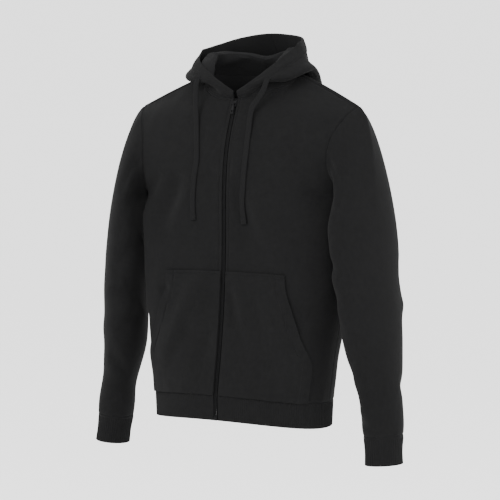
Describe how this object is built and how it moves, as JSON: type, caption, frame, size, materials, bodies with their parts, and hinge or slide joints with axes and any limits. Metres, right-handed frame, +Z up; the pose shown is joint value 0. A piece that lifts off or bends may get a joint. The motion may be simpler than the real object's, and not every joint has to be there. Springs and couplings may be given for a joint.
{
  "type": "full-zip hooded sweatshirt",
  "caption": "Hooded sweatshirt with a full-length front zip, hood lying down, flat drawcords, split front pocket and ribbed cuffs and waistband, filled out as when worn.",
  "frame": {"origin": "middle of the base of the neck, level with the high points of the shoulders", "axes": "+X to the wearer's left, -Y out of the front, +Z up"},
  "size_m": [0.664, 0.3104, 0.8023],
  "materials": {
    "black_fleece": "matt brushed-back knit",
    "black_rib": "matt rib knit",
    "black_woven_tape": "matt woven",
    "black_nylon_coil": "satin",
    "dark_painted_metal": "satin",
    "black_flat_cord": "matt braided"
  },
  "bodies": {
    "garment": {"front_left": "black_fleece", "front_right": "black_fleece", "back": "black_fleece", "sleeve_left": "black_fleece", "sleeve_right": "black_fleece", "hood_left": "black_fleece", "hood_right": "black_fleece", "pocket_left": "black_fleece", "pocket_right": "black_fleece", "cuff_left": "black_rib", "cuff_right": "black_rib", "waistband": "black_rib", "zip_tape_left": "black_woven_tape", "zip_tape_right": "black_woven_tape", "zip_chain": "black_nylon_coil", "zip_slider": "dark_painted_metal", "zip_box": "dark_painted_metal", "drawcord_left": "black_flat_cord", "drawcord_right": "black_flat_cord", "cord_tip_left": "black_flat_cord", "cord_tip_right": "black_flat_cord"},
    "pull_tab": {"zip_pull": "dark_painted_metal"}
  },
  "joints": [
    {"name": "pull_tab_hinge", "type": "hinge", "parent": "garment", "child": "pull_tab", "pos_m": [0, -0.0761, -0.05695], "axis": [-1, 0, 0], "range_deg": [0, 150]}
  ]
}
